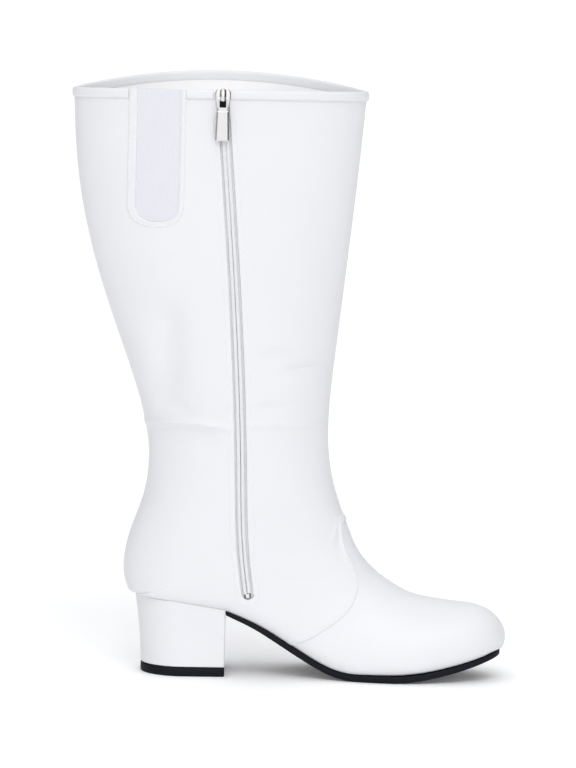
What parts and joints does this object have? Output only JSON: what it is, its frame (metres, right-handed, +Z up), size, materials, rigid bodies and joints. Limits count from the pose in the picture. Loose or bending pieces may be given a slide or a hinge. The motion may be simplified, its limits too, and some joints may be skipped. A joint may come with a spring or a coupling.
{
  "type": "parade boot",
  "caption": "Knee-high white parade boot for the left foot, with a block heel, thin black sole, inner-side zip and elastic panel at the collar.",
  "frame": {"origin": "on the floor, under the middle of the heel's top piece", "axes": "+X towards the toe, +Y towards the outer side of the leg, +Z up along the shaft"},
  "size_m": [0.3015, 0.0918, 0.406],
  "materials": {
    "white_leather": "smooth satin",
    "white_elastic": "ribbed elastic weave",
    "zip_tape": "woven",
    "zip_coil": "satin",
    "polished_metal": "polished nickel",
    "insole_board": "matt",
    "black_rubber": "matt"
  },
  "bodies": {
    "boot": {"upper": "white_leather", "collar_binding": "white_leather", "collar_binding_tab": "white_leather", "gusset_facing": "white_leather", "elastic_gusset": "white_elastic", "zip_tape_front": "zip_tape", "zip_tape_back": "zip_tape", "zip_coil": "zip_coil", "zip_bottom_stop": "polished_metal", "zip_slider": "polished_metal", "insole": "insole_board", "outsole": "black_rubber", "heel_block": "white_leather", "heel_top_piece": "black_rubber"},
    "pull_tab": {"zip_pull_tab": "polished_metal"}
  },
  "joints": [
    {"name": "pull_tab_flip", "type": "hinge", "parent": "boot", "child": "pull_tab", "pos_m": [0.01732, -0.04449, 0.3904], "axis": [-1, 0, 0], "range_deg": [0, 170]}
  ]
}
